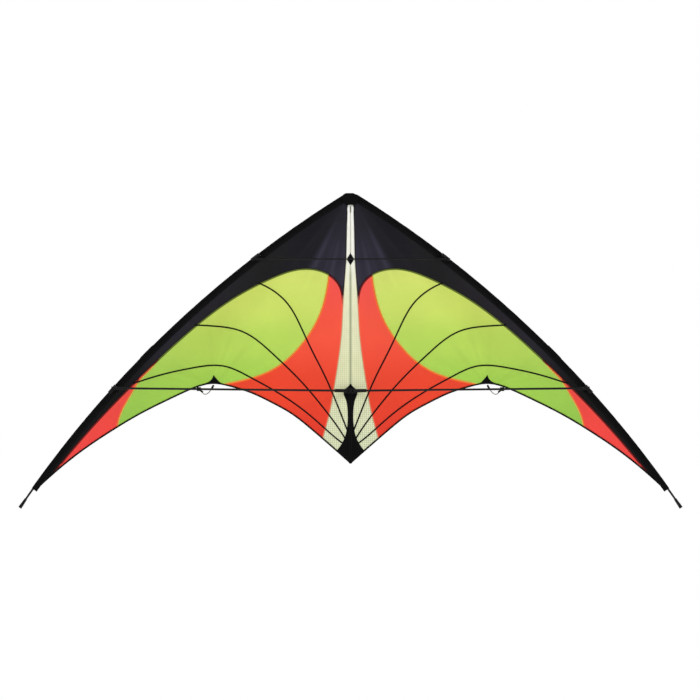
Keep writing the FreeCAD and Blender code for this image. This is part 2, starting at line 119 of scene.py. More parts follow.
class Nodes:
    """A short way to write a material's node tree."""

    def __init__(self, name):
        self.mat = bpy.data.materials.new(name)
        self.mat.use_nodes = True
        self.tree = self.mat.node_tree
        self.bsdf = self.tree.nodes["Principled BSDF"]

    def new(self, kind):
        return self.tree.nodes.new(kind)

    def put(self, socket, value):
        if isinstance(value, bpy.types.NodeSocket):
            self.tree.links.new(value, socket)
        else:
            socket.default_value = value

    def math(self, op, a, b=0.0, clamp=False):
        n = self.new("ShaderNodeMath")
        n.operation, n.use_clamp = op, clamp
        self.put(n.inputs[0], a)
        self.put(n.inputs[1], b)
        return n.outputs[0]

    def mix(self, factor, a, b, how="MIX"):
        n = self.new("ShaderNodeMix")
        n.data_type, n.blend_type = "RGBA", how
        self.put(n.inputs[0], factor)
        self.put(n.inputs[6], a)
        self.put(n.inputs[7], b)
        return n.outputs[2]

    def ramp(self, value, stops):
        n = self.new("ShaderNodeValToRGB")
        n.color_ramp.interpolation = "EASE"
        e = n.color_ramp.elements
        while len(e) < len(stops):
            e.new(0.5)
        for item, (at, colour) in zip(e, stops):
            item.position, item.color = at, colour
        self.put(n.inputs[0], value)
        return n.outputs[0]

    def span(self, value, low, high, to_low=0.0, to_high=1.0):
        n = self.new("ShaderNodeMapRange")
        n.interpolation_type = "SMOOTHSTEP"
        for i, v in enumerate((value, low, high, to_low, to_high)):
            self.put(n.inputs[i], v)
        return n.outputs[0]

    def uv(self):
        """The flat cloth's own coordinates, in metres: the vector, across and up."""
        n = self.new("ShaderNodeUVMap")
        n.uv_map = "cloth"
        s = self.new("ShaderNodeSeparateXYZ")
        self.put(s.inputs[0], n.outputs[0])
        return n.outputs[0], s.outputs[0], s.outputs[1]

    def place(self):
        """The object's coordinates: the vector, x, y and z."""
        n = self.new("ShaderNodeTexCoord")
        s = self.new("ShaderNodeSeparateXYZ")
        self.put(s.inputs[0], n.outputs["Object"])
        return n.outputs["Object"], s.outputs[0], s.outputs[1], s.outputs[2]

    def noise(self, vector, scale, detail=3.0, rough=0.5):
        n = self.new("ShaderNodeTexNoise")
        self.put(n.inputs["Vector"], vector)
        n.inputs["Scale"].default_value = scale
        n.inputs["Detail"].default_value = detail
        n.inputs["Roughness"].default_value = rough
        return n.outputs["Fac"]

    def attribute(self, name):
        n = self.new("ShaderNodeAttribute")
        n.attribute_name = name
        return n.outputs["Fac"]

    def threads(self, value, period, share):
        """1 on a thread of that share of the period, 0 between threads."""
        f = self.math("FRACT", self.math("DIVIDE", value, period))
        off = self.math("ABSOLUTE", self.math("SUBTRACT", f, 0.5))
        return self.span(off, 0.5 - share, 0.5 - share * 0.4)

    def bump(self, height, strength, distance):
        n = self.new("ShaderNodeBump")
        self.put(n.inputs["Height"], height)
        n.inputs["Strength"].default_value = strength
        n.inputs["Distance"].default_value = distance
        self.put(self.bsdf.inputs["Normal"], n.outputs[0])

    def grey(self, value):
        """A value as a grey colour, to multiply by."""
        n = self.new("ShaderNodeCombineColor")
        for i in range(3):
            self.put(n.inputs[i], value)
        return n.outputs[0]

    def shaded(self, colour, value):
        return self.mix(1.0, colour, self.grey(value), "MULTIPLY")

    def finish(self, colour, rough, sheen=0.0, gloss=0.15):
        self.put(self.bsdf.inputs["Base Color"], colour)
        self.put(self.bsdf.inputs["Roughness"], rough)
        self.bsdf.inputs["Specular IOR Level"].default_value = gloss
        if sheen:
            self.bsdf.inputs["Sheen Weight"].default_value = sheen
        return self.mat


RIPSTOP_GRID, RIPSTOP_SHARE = 0.0055, 0.09


def turned(n, u, v, degrees):
    """The cloth's coordinates turned to the way its threads run."""
    a = math.radians(degrees)
    return (
        n.math("ADD", n.math("MULTIPLY", u, math.cos(a)), n.math("MULTIPLY", v, math.sin(a))),
        n.math("SUBTRACT", n.math("MULTIPLY", v, math.cos(a)), n.math("MULTIPLY", u, math.sin(a))),
    )


def ripstop_grid(n, u, v, grain):
    """The turned coordinates, and the square grid of thicker threads."""
    gu, gv = turned(n, u, v, grain)
    across, along = n.threads(gu, RIPSTOP_GRID, RIPSTOP_SHARE), n.threads(gv, RIPSTOP_GRID, RIPSTOP_SHARE)
    return gu, gv, n.math("MAXIMUM", across, along)


def ripstop(name, stops, low, high, grain, seams):
    """Ripstop nylon: a colour that changes up the panel from low to high, painted lighter upwards as
    painted light and shade, a thread grid, soft creases with painted shade and highlight.
    """
    n = Nodes(name)
    vector, u, v = n.uv()
    # Painted light and shade: the ramp makes each panel lighter towards its top.
    colour = n.ramp(n.math("MULTIPLY", n.math("SUBTRACT", v, low), 1 / (high - low)), stops)
    gu, gv, grid = ripstop_grid(n, u, v, grain)
    fine = n.math("MULTIPLY", n.threads(gu, 0.0006, 0.35), n.threads(gv, 0.0006, 0.35))
    soft = n.noise(vector, 9.0, 4.0, 0.55)
    darker = n.mix(1.0, colour, (0.9, 0.9, 0.9, 1), "MULTIPLY")
    colour = n.mix(n.math("MULTIPLY", grid, 0.35), colour, darker)
    colour = n.shaded(colour, n.span(soft, 0.3, 0.7, 0.96, 1.024))
    # Painted shade and highlight along the creases.
    colour = n.shaded(colour, n.span(n.attribute("crease"), -1.0, 1.0, 0.95, 1.04))
    for attribute, edge_colour, width in seams:
        near = n.span(n.attribute(attribute), width * 0.55, width, 1.0, 0.0)
        colour = n.mix(near, colour, edge_colour)
    height = n.math("ADD", n.math("MULTIPLY", grid, 0.6), n.math("MULTIPLY", fine, 0.25))
    n.bump(height, 0.25, 0.0002)
    return n.finish(colour, n.span(soft, 0.3, 0.7, 0.45, 0.58), sheen=0.02)


def webbing(name, light, dark, period=0.0016, rough=0.75):
    """Woven reinforcement: over-and-under threads, slightly worn where they stand proud."""
    n = Nodes(name)
    vector, u, v = n.uv()
    gu, gv = turned(n, u, v, 45)
    weave = n.math("ABSOLUTE", n.math("SUBTRACT", n.threads(gu, period, 0.4), n.threads(gv, period, 0.4)))
    wear = n.noise(vector, 60.0, 4.0, 0.6)
    colour = n.mix(n.math("MULTIPLY", weave, n.span(wear, 0.35, 0.75, 0.25, 0.9)), dark, light)
    n.bump(weave, 0.35, 0.0003)
    return n.finish(colour, n.span(wear, 0.3, 0.7, rough - 0.06, rough + 0.1), sheen=0.01, gloss=0.06)


SEAM_ORANGE, SEAM_YELLOW = srgb(244, 118, 44), srgb(226, 214, 96)
# Each ripstop's colour stops run from the bottom of its panel to its top and get lighter upwards: painted
# light and shade.
MAT = {
    "green": ripstop(
        "green_ripstop",
        [
            (0, srgb(150, 203, 76)), (0.28, srgb(163, 210, 80)), (0.55, srgb(184, 217, 92)),
            (0.8, srgb(206, 225, 105)), (1, srgb(214, 228, 112)),
        ],
        low=-0.10, high=0.29, grain=8,
        seams=[
            ("to_inner", SEAM_YELLOW, 3.0), ("to_tip", SEAM_YELLOW, 2.5),
            ("to_black", srgb(96, 112, 40), 2.6),
        ],
    ),
    "inner": ripstop(
        "inner_red_ripstop",
        [
            (0, srgb(224, 54, 36)), (0.35, srgb(238, 68, 42)),
            (0.7, srgb(244, 84, 62)), (1, srgb(244, 82, 74)),
        ],
        low=-0.13, high=0.27, grain=-12,
        seams=[
            ("to_main", SEAM_ORANGE, 4.5), ("to_black", srgb(96, 10, 12), 3.0),
            ("to_centre", srgb(236, 120, 88), 2.6),
        ],
    ),
    "tip": ripstop(
        "tip_red_ripstop",
        [(0, srgb(244, 66, 62)), (1, srgb(246, 76, 64))],
        low=-0.21, high=0.11, grain=40,
        seams=[("to_main", SEAM_ORANGE, 4.0), ("to_black", srgb(110, 16, 14), 2.6)],
    ),
}


def black_cloth():
    """Black ripstop: painted light, bluish, where light comes through near the nose, deep black towards
    the tip.
    """
    n = Nodes("black_ripstop")
    vector, u, v = n.uv()
    grid = ripstop_grid(n, u, v, 35)[2]
    soft = n.noise(vector, 6.0, 5.0, 0.6)
    # Painted light: bluish where light comes through the cloth, mostly in a wedge below the nose.
    navy = n.math("ADD", n.attribute("navy"), 0.0, clamp=True)
    colour = n.mix(navy, srgb(29, 28, 34), srgb(58, 55, 70))
    colour = n.mix(n.attribute("deep"), colour, srgb(9, 9, 10))
    # Painted shade and highlight along the creases.
    colour = n.shaded(colour, n.span(n.attribute("crease"), -1.0, 1.0, 0.86, 1.12))
    colour = n.shaded(colour, n.span(soft, 0.3, 0.7, 0.84, 1.14))
    colour = n.mix(n.math("MULTIPLY", grid, 0.2), colour, srgb(50, 49, 56))
    edge = n.span(n.attribute("to_edge"), 1.6, 4.2, 1.0, 0.0)
    colour = n.mix(edge, colour, srgb(13, 13, 15))
    n.bump(grid, 0.2, 0.0002)
    return n.finish(colour, n.span(soft, 0.3, 0.7, 0.5, 0.62), gloss=0.07)


def spine_shade_stripe(n, u, inner, outer, below, low_share, high_share):
    """A stripe along the middle of the film, where the spine's shade is painted: 1 inside, 0 outside,
    stronger below the diamond.
    """
    strength = n.math("ADD", n.math("MULTIPLY", below, low_share), high_share)
    return n.math("MULTIPLY", n.span(u, inner, outer, 1.0, 0.0), strength)


def scrim():
    """Clear film with a laid grid of fine yarns, painted lighter towards its top as painted light: the
    spine shows through it, its shade painted along the middle.
    """
    n = Nodes("cream_scrim")
    vector, u, v = n.uv()
    tail, length, yarn_pitch, yarn_share = 0.18, 0.63, 0.0048, 0.14
    # Painted light and shade: the film is lighter towards its top.
    colour = n.ramp(
        n.math("MULTIPLY", n.math("ADD", v, tail), 1 / length),
        [
            (0, srgb(232, 236, 200)), (0.16, srgb(232, 236, 196)), (0.36, srgb(232, 233, 188)),
            (0.62, srgb(236, 236, 198)), (0.84, srgb(250, 250, 240)), (1, srgb(253, 253, 251)),
        ],
    )
    low = n.span(v, 0.24, -0.14)
    yarn = n.math("MAXIMUM", n.threads(u, yarn_pitch, yarn_share), n.threads(v, yarn_pitch, yarn_share))
    strong = n.math("ADD", n.math("MULTIPLY", low, 0.42), 0.1)
    colour = n.mix(n.math("MULTIPLY", yarn, strong), colour, srgb(122, 134, 104))
    streak = n.noise(vector, 30.0, 3.0, 0.5)
    colour = n.shaded(colour, n.span(streak, 0.3, 0.7, 0.965, 1.03))
    below = n.span(v, 0.30, 0.27)
    # Painted shade of the spine behind the film: a greyish band, then a dark line down the middle.
    colour = n.mix(spine_shade_stripe(n, u, 0.0026, 0.0044, below, 0.42, 0.04), colour, srgb(146, 168, 140))
    colour = n.mix(spine_shade_stripe(n, u, 0.0003, 0.001, below, 0.4, 0.08), colour, srgb(66, 78, 60))
    # Painted shade of the spine's top end behind the film.
    rod_end_shade = n.math("MULTIPLY", n.span(v, 0.426, 0.429), n.span(v, 0.444, 0.441))
    rod_end_shade = n.math("MULTIPLY", rod_end_shade, n.span(u, 0.0013, 0.0026, 1.0, 0.0))
    colour = n.mix(n.math("MULTIPLY", rod_end_shade, 0.8), colour, srgb(58, 66, 52))
    edge = n.span(n.attribute("to_edge"), 1.0, 2.2, 1.0, 0.0)
    colour = n.mix(n.math("MULTIPLY", edge, 0.4), colour, srgb(160, 150, 108))
    n.bump(yarn, 0.3, 0.0002)
    n.bsdf.inputs["Alpha"].default_value = 0.87
    return n.finish(colour, n.span(streak, 0.3, 0.7, 0.32, 0.45))


MAT["black"] = black_cloth()
MAT["scrim"] = scrim()
MAT["webbing"] = webbing("patch_webbing", srgb(17, 17, 19), srgb(4, 4, 5))
MAT["tape"] = webbing("edge_tape", srgb(18, 19, 17), srgb(6, 6, 6), period=0.0009)
MAT["sleeve"] = webbing("sleeve_cloth", srgb(15, 15, 17), srgb(4, 4, 5), period=0.0012, rough=0.7)


def thread_material():
    """Black sewing thread: twisted, with a little fuzz."""
    n = Nodes("sewing_thread")
    vector, x, y, z = n.place()
    twist = n.threads(n.math("ADD", x, n.math("ADD", y, z)), 0.0005, 0.3)
    fuzz = n.noise(vector, 900.0, 2.0)
    colour = n.mix(twist, srgb(22, 22, 24), n.mix(fuzz, srgb(40, 40, 42), srgb(58, 58, 62)))
    return n.finish(colour, n.span(fuzz, 0.3, 0.7, 0.55, 0.75), sheen=0.01, gloss=0.08)


def carbon():
    """Pultruded tube: fine lengthwise fibres under a thin gloss."""
    n = Nodes("carbon_tube")
    vector = n.place()[0]
    stretch = n.new("ShaderNodeMapping")
    stretch.inputs["Scale"].default_value = (60, 900, 60)
    n.put(stretch.inputs[0], vector)
    fibre = n.noise(stretch.outputs[0], 1.0, 4.0, 0.7)
    mottle = n.noise(vector, 160.0, 3.0)
    colour = n.mix(n.span(fibre, 0.35, 0.7), srgb(5, 5, 6), srgb(22, 22, 25))
    n.bump(fibre, 0.08, 0.0001)
    n.bsdf.inputs["Coat Weight"].default_value = 0.08
    n.bsdf.inputs["Coat Roughness"].default_value = 0.2
    return n.finish(colour, n.span(mottle, 0.3, 0.7, 0.3, 0.42))


def fibreglass():
    """Grey rod with streaks of glass."""
    n = Nodes("fibreglass_rod")
    vector = n.place()[0]
    streak = n.noise(vector, 420.0, 4.0, 0.7)
    colour = n.mix(n.span(streak, 0.3, 0.7), srgb(78, 80, 78), srgb(132, 134, 130))
    n.bump(streak, 0.08, 0.0001)
    return n.finish(colour, n.span(streak, 0.3, 0.7, 0.28, 0.42))


def vinyl():
    """Black moulding: a fine grain, paler where it is scuffed."""
    n = Nodes("moulded_vinyl")
    vector = n.place()[0]
    grain = n.noise(vector, 1400.0, 3.0, 0.6)
    scuff = n.noise(vector, 120.0, 5.0, 0.7)
    colour = n.mix(n.span(scuff, 0.5, 0.75), srgb(6, 6, 7), srgb(22, 22, 24))
    n.bump(grain, 0.15, 0.0001)
    return n.finish(colour, n.span(scuff, 0.35, 0.7, 0.42, 0.6))


MAT["thread"] = thread_material()
MAT["carbon"] = carbon()
MAT["glass_rod"] = fibreglass()
MAT["vinyl"] = vinyl()

# ---------------------------------------------------------------- the sail's shape, in millimetres
# The right leading edge is an arc: its outer edge has radius R about (CX, CZ), its tube's axis AXIS_R.
R, CX, CZ = 2607.6, -1360.8, -1743.2
AXIS_R = R - 3.7
# Depths of the tube's axis and of the flat sail; SEAM is how far the sleeve reaches in from the edge.
LE_Y, SAIL_Y, SEAM = 7.2, 7.0, 15.0
# The sail is BILLOW deep at the standoff and flat near the spine; SHARP is how sharply its slopes meet.
BILLOW, STAND_X, STAND_Z, FLAT, SHARP = 115.0, 331.0, 15.6, 12.0, 2.6
NOSE_Z, CREASE_DEPTH = 480, 0.55


def inside_seam(x, z):
    """How far a point lies inside the sleeve's seam."""
    return R - SEAM - np.hypot(x - CX, z - CZ)


SPINE_SLOPE = BILLOW / (math.hypot(STAND_X, FLAT) - FLAT)
SEAM_SLOPE = BILLOW / float(inside_seam(STAND_X, STAND_Z))


def depth(x, z):
    """The billow: a soft minimum of a slope from the spine and a slope from the sleeve."""
    a = np.maximum(SPINE_SLOPE * (np.hypot(x, FLAT) - FLAT), 1e-4)
    b = np.maximum(SEAM_SLOPE * inside_seam(x, z), 1e-4)
    return (0.5 * (a**-SHARP + b**-SHARP)) ** (-1 / SHARP)


def ease(v, low, high):
    """0 below low, 1 above high, smooth between."""
    t = np.clip((v - low) / (high - low), 0, 1)
    return t * t * (3 - 2 * t)


def folds(x, z):
    """Creases, -1 to 1: rays from the standoff and from the nose, and ripples towards the tip."""
    window = ease(x, 9, 40) * ease(inside_seam(x, z), 2, 26)
    dx, dz = x - STAND_X, z - STAND_Z + 8
    far, turn = np.hypot(dx, dz), np.arctan2(dz, dx)
    rays = np.sin(7.3 * turn + 0.6) * 0.5 + np.sin(17.9 * turn + 2.1) * 0.4
    rays = rays + np.sin(33.7 * turn + 4.0) * 0.35
    rays = rays * (0.55 + 0.45 * np.sin(3.1 * turn + 1.2))
    fan = rays * np.exp(-((far - 62) / 70) ** 2) * ease(dz, 0, 20)
    below = NOSE_Z - z
    turn = np.arctan2(x, below)
    rays = np.sin(31 * turn + 0.4) * 0.5 + np.sin(57 * turn + 1.7) * 0.4 + np.sin(88 * turn) * 0.25
    nose = rays * np.exp(-((np.hypot(x, below) - 165) / 80) ** 2)
    tip = np.sin(0.075 * (x * 0.8 - z * 0.6)) * 0.25 * ease(x, 430, 620)
    return window * np.clip(fan + nose * 0.8 + tip, -1, 1)


def front(x, z):
    """Depth of the sail's front face, creases included, on either wing."""
    x = np.abs(x)
    return SAIL_Y + depth(x, z) + CREASE_DEPTH * folds(x, z)


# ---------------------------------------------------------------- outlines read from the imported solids
def outline(node):
    """The outer edge of a node's front faces, as x and z in millimetres."""
    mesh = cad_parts[node].data
    mesh.calc_loop_triangles()
    co = np.array([v.co for v in mesh.vertices]) * 1000
    key = [tuple(np.round(c, 2)) for c in co]
    first = {}
    ids = np.array([first.setdefault(k, i) for i, k in enumerate(key)])
    uses = {}
    for t in mesh.loop_triangles:
        a, b, c = (co[i] for i in t.vertices)
        normal = np.cross(b - a, c - a)
        if normal[1] < -0.35 * (np.linalg.norm(normal) + 1e-12):
            v = ids[list(t.vertices)]
            for p, q in ((v[0], v[1]), (v[1], v[2]), (v[2], v[0])):
                uses.setdefault(frozenset((p, q)), []).append((p, q))
    step = {}
    for pairs in uses.values():
        if len(pairs) == 1 and pairs[0][0] != pairs[0][1]:
            step[pairs[0][0]] = pairs[0][1]
    loops = []
    while step:
        start, here = next(iter(step.items()))
        del step[start]
        loop = [start, here]
        while here in step and here != start:
            here = step.pop(here)
            loop.append(here)
        loops.append(co[loop][:, [0, 2]])
    best = max(loops, key=lambda loop: np.linalg.norm(np.diff(loop, axis=0), axis=1).sum())
    return best[:-1] if np.allclose(best[0], best[-1]) else best


def resample(loop, step):
    """The same closed outline with points about step apart, its corners kept."""
    d = np.roll(loop, -1, 0) - loop
    long_enough = np.linalg.norm(d, axis=1) > 0.02
    loop = loop[long_enough]
    n = len(loop)
    before, after = loop - np.roll(loop, 1, 0), np.roll(loop, -1, 0) - loop
    swing = np.arctan2(after[:, 1], after[:, 0]) - np.arctan2(before[:, 1], before[:, 0])
    turn = np.abs((swing + np.pi) % (2 * np.pi) - np.pi)
    corners = [i for i in range(n) if turn[i] > 0.45] or [0]
    out = []
    for a, b in zip(corners, corners[1:] + [corners[0] + n]):
        run = loop[[i % n for i in range(a, b + 1)]]
        along = np.concatenate([[0], np.cumsum(np.linalg.norm(np.diff(run, axis=0), axis=1))])
        count = max(1, int(round(along[-1] / step)))
        at = np.linspace(0, along[-1], count + 1)[:-1]
        out.append(np.c_[np.interp(at, along, run[:, 0]), np.interp(at, along, run[:, 1])])
    return np.concatenate(out)


def tree_of(points):
    """A search tree of flat points."""
    t = kdtree.KDTree(len(points))
    for i, p in enumerate(points):
        t.insert((p[0], p[1], 0), i)
    t.balance()
    return t


def distance(points, tree):
    """From each point to the nearest one in the tree."""
    return np.array([tree.find((p[0], p[1], 0))[2] for p in points])


def add_mesh(name, verts, faces, material, smooth=True):
    """A mesh object from points in metres."""
    me = bpy.data.meshes.new(name)
    me.from_pydata([tuple(v) for v in verts], [], [tuple(f) for f in faces])
    me.update()
    if smooth:
        me.shade_smooth()
    me.materials.append(material)
    o = bpy.data.objects.new(name, me)
    bpy.context.collection.objects.link(o)
    return o


def set_uv(o, coords):
    """The flat cloth's coordinates, in metres, one for each vertex."""
    layer = o.data.uv_layers.new(name="cloth")
    index = np.zeros(len(o.data.loops), np.int32)
    o.data.loops.foreach_get("vertex_index", index)
    layer.data.foreach_set("uv", np.asarray(coords, np.float32)[index].ravel())


def set_value(o, name, values):
    """A number for each vertex, for the material to read."""
    layer = o.data.attributes.new(name, "FLOAT", "POINT")
    layer.data.foreach_set("value", np.asarray(values, np.float32))


def inset(loop, by):
    """A closed outline moved inwards."""
    before, after = np.roll(loop, 1, 0), np.roll(loop, -1, 0)
    d = after - before
    d /= np.linalg.norm(d, axis=1)[:, None] + 1e-9
    area = 0.5 * np.sum(loop[:, 0] * np.roll(loop[:, 1], -1) - np.roll(loop[:, 0], -1) * loop[:, 1])
    return loop + np.c_[-d[:, 1], d[:, 0]] * (by if area > 0 else -by)


ROW_STEP = 0.866


def flat_cloth(loop, spacing, ring, extra=()):
    """Points and triangles that fill an outline, with a row of points at a set distance inside it."""
    lo, hi = loop.min(0), loop.max(0)
    xs, zs = np.arange(lo[0], hi[0], spacing), np.arange(lo[1], hi[1], spacing * ROW_STEP)
    grid = [(x + (spacing / 2 if j % 2 else 0), z) for j, z in enumerate(zs) for x in xs]
    grid += [p for p in extra if lo[0] < p[0] < hi[0] and lo[1] < p[1] < hi[1]]
    grid = np.array(grid)
    edge = tree_of(resample(loop, 0.8))
    grid = grid[distance(grid, edge) > ring + spacing * 0.45] if len(grid) else grid
    if ring:
        row = inset(loop, ring)
        grid = np.concatenate([row[distance(row, edge) > ring * 0.93], grid])
    n = len(loop)
    points = [Vector(p) for p in loop] + [Vector(p) for p in grid]
    v, _, f, *_ = geometry.delaunay_2d_cdt(points, [(i, (i + 1) % n) for i in range(n)], [], 1, 1e-5)
    used = sorted({i for t in f for i in t})
    new = {old: k for k, old in enumerate(used)}
    return np.array([(v[i][0], v[i][1]) for i in used]), [tuple(new[i] for i in t) for t in f]


# Lines of the right wing, as (x, z): the black panel's lower edge and the centre panel's outer edge.
BLACK = [
    (15.6, 203), (18, 226), (24, 249), (33, 263.5), (45, 275), (58, 283), (72, 288.6), (90, 292.6),
    (120, 293), (192, 270.5), (288, 219), (384, 146), (480, 58), (576, -38), (648, -117), (720, -205),
    (750, -244),
]
CREAM = [(4.5, 448), (7, 443.5), (7.6, 432), (8.2, 405), (9, 375), (10.6, 315), (17.3, 218), (21, 146)]
LAPPED, HORN_FOOT_Z = 1.5, 205
SLEEVE_NOSE_X, BLACK_TIP_X, BESIDE_SPINE = 16.0, 738, 0.3


def curve(points, step=3.0):
    """A smooth line through a few points: a natural cubic spline over the distance between them."""
    p = np.array(points, float)
    t = np.concatenate([[0], np.cumsum(np.linalg.norm(np.diff(p, axis=0), axis=1))])
    h, n = np.diff(t), len(p)
    a, b = np.eye(n), np.zeros((n, 2))
    for i in range(1, n - 1):
        a[i, i - 1 : i + 2] = h[i - 1], 2 * (h[i - 1] + h[i]), h[i]
        b[i] = 6 * ((p[i + 1] - p[i]) / h[i] - (p[i] - p[i - 1]) / h[i - 1])
    bend = np.linalg.solve(a, b)
    at = np.linspace(0, t[-1], int(t[-1] / step) + 1)
    k = np.clip(np.searchsorted(t, at, "right") - 1, 0, n - 2)
    u, w, g = (at - t[k])[:, None], (t[k + 1] - at)[:, None], h[k][:, None]
    return (
        bend[k] * w**3 / (6 * g) + bend[k + 1] * u**3 / (6 * g)
        + (p[k] / g - bend[k] * g / 6) * w + (p[k + 1] / g - bend[k + 1] * g / 6) * u
    )


def tape_height(x):
    """Height of the middle of the trailing edge's tape, near the tip."""
    return np.interp(x, (648, 720, 758), (-148, -207, -242)) + 2.35


def black_outline():
    """The black panel runs on a little under its neighbours, as a lapped seam does."""
    top = math.acos((SLEEVE_NOSE_X - CX) / R) + math.radians(0.15)
    lower = curve(BLACK)
    side = np.gradient(lower, axis=0)
    side = np.c_[side[:, 1], -side[:, 0]] / np.linalg.norm(side, axis=1)[:, None]
    lower = lower + side * LAPPED
    lower = lower[lower[:, 1] > tape_height(lower[:, 0])]
    along_tape = [(x, tape_height(x)) for x in (719, 725, 731, 736)]
    lap = np.concatenate([strip_edge(), lower, along_tape])
    low = math.acos((BLACK_TIP_X - CX) / (R - SEAM))
    edge = R - SEAM - 0.02
    arc = [(CX + edge * math.cos(a), CZ + edge * math.sin(a)) for a in np.linspace(low, top, 300)]
    return np.array([*arc, (BESIDE_SPINE, 466.2), (BESIDE_SPINE, 448.5), *lap]), lap


def strip_edge():
    """The black horn's edge, a little under the centre panel."""
    strip = curve(CREAM) - (1.2, 0)
    return strip[strip[:, 1] > HORN_FOOT_Z]


BLACK_LOOP, LAP = black_outline()
LOOPS = {"leading_edge_panel": BLACK_LOOP}


def loop_of(node):
    """The right wing's outline of a piece of cloth."""
    if node not in LOOPS:
        LOOPS[node] = outline("right_" + node)
    return LOOPS[node]


def mirrored(name, verts, faces, uv, values, material):
    """The same cloth for both wings: right as given, left with x turned round."""
    made = []
    for side, sign in (("right", 1), ("left", -1)):
        v = np.array(verts) * (sign, 1, 1)
        f = faces if sign > 0 else [tuple(reversed(t)) for t in faces]
        o = add_mesh(f"{side}_{name}_cloth", v / 1000, f, material)
        set_uv(o, np.asarray(uv) / 1000)
        for key, value in values.items():
            set_value(o, key, value)
        made.append(o)
    return made


def orient(points, faces):
    """Faces that look to the front, -Y."""
    out = []
    for a, b, c in faces:
        (ax, az), (bx, bz), (cx, cz) = points[a], points[b], points[c]
        out.append((a, b, c) if (bx - ax) * (cz - az) - (bz - az) * (cx - ax) > 0 else (a, c, b))
    return out


MADE = {}
OUTLINE_STEP = 0.8
# A seam stands a little proud of the sail, and the black panel's lapped edge lies behind it.
SEAM_PROUD, LAP_BEHIND = 0.22, 0.75
# Rows of extra points beside the spine, for the cloth that reaches it.
BEND_POINTS = [(x, z) for x in (2, 4, 6, 8, 11) for z in np.arange(-176, 470, 4.0)]


def to_outline(points, node):
    """From each point to the outline of a piece of cloth."""
    return distance(points, tree_of(resample(loop_of(node), OUTLINE_STEP)))


def black_shading(x, z):
    """Where the black panel is painted bluish as light coming through it (a wedge below the nose, lighter
    outwards, brighter and darker along the creases) and where it is deep black (the tip).
    """
    turn, far = np.degrees(np.arctan2(x, NOSE_Z - z)), np.hypot(x, NOSE_Z - z)
    # Painted light through the cloth: a wedge below the nose, brighter and darker along the creases, and
    # lighter outwards.
    wedge = (1 - ease(turn, 27.0, 30.5)) * (0.2 + 0.8 * ease(far, 60, 175))
    navy = np.clip(wedge * (0.62 + 0.3 * folds(x, z)), 0, 1) + 0.16 * ease(x, 200, 420)
    return {"navy": navy, "deep": ease(x, 430, 550)}


def cloth(node, spacing, material, lift=0.0, thick=0.3, near=(), step=3.0, ring=3.0):
    """A piece of cloth on the sail, inside its CAD outline: lift is how far it stands in front."""
    loop = resample(loop_of(node), step)
    at_spine = loop[:, 0].min() < 2
    p, faces = flat_cloth(loop, spacing, ring, BEND_POINTS if at_spine else ())
    x, z = p[:, 0], p[:, 1]
    # The creases are stored for the materials' painted shade and highlight along them.
    values = {"crease": folds(x, z), "to_edge": to_outline(p, node)}
    proud = np.zeros(len(p))
    for key, other in near:
        values[key] = to_outline(p, other)
        proud = np.maximum(proud, SEAM_PROUD * (1 - ease(values[key], 3, 5.5)))
    if node == "leading_edge_panel":
        values.update(black_shading(x, z))
        lap = distance(p, tree_of(LAP))
        proud = -LAP_BEHIND * (1 - ease(lap, 2.8, 7.5))
    y = front(x, z) - lift - proud
    x = np.where(x < 0.4, 0.0, x)  # the two wings meet on the spine
    for o in mirrored(node, np.c_[x, y, z], orient(p, faces), p, values, material):
        m = o.modifiers.new("thickness", "SOLIDIFY")
        m.thickness, m.offset = thick / 1000, -1
        m.use_even_offset = False
        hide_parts(o.name.removesuffix("_cloth"))
        MADE[o.name] = o


# For each panel, the neighbours whose seams show on it.
TO_BLACK = ("to_black", "leading_edge_panel")
NEXT = {
    "main_panel": (("to_inner", "inner_panel"), ("to_tip", "tip_panel"), TO_BLACK),
    "inner_panel": (("to_main", "main_panel"), TO_BLACK, ("to_centre", "centre_panel")),
    "tip_panel": (("to_main", "main_panel"), TO_BLACK),
}
cloth("main_panel", 5.0, MAT["green"], near=NEXT["main_panel"])
cloth("inner_panel", 5.0, MAT["inner"], near=NEXT["inner_panel"])
cloth("tip_panel", 5.0, MAT["tip"], near=NEXT["tip_panel"])
cloth("leading_edge_panel", 5.0, MAT["black"])
cloth("centre_panel", 4.0, MAT["scrim"], thick=0.2, ring=1.6)
cloth("tail_patch", 3.0, MAT["webbing"], lift=0.75, thick=0.5, step=2.0, ring=1.2)
cloth("standoff_patch", 3.0, MAT["webbing"], lift=0.75, thick=0.5, step=1.5, ring=1.2)
for rib in ("upper_rib", "middle_rib", "lower_rib"):
    cloth(rib, 1.7, MAT["tape"], lift=0.75, thick=0.5, step=2.5, ring=0)
cloth("trailing_edge_binding", 1.75, MAT["tape"], lift=0.75, thick=1.3, step=2.5, ring=0)

# ---------------------------------------------------------------- leading edge sleeve, patches and straps


def on_bow(angle, radius):
    """A point on an arc of the leading edge, as x and z."""
    return CX + radius * np.cos(angle), CZ + radius * np.sin(angle)


def angle_at(x, radius=R):
    """The arc's angle where it passes x."""
    return math.acos((x - CX) / radius)


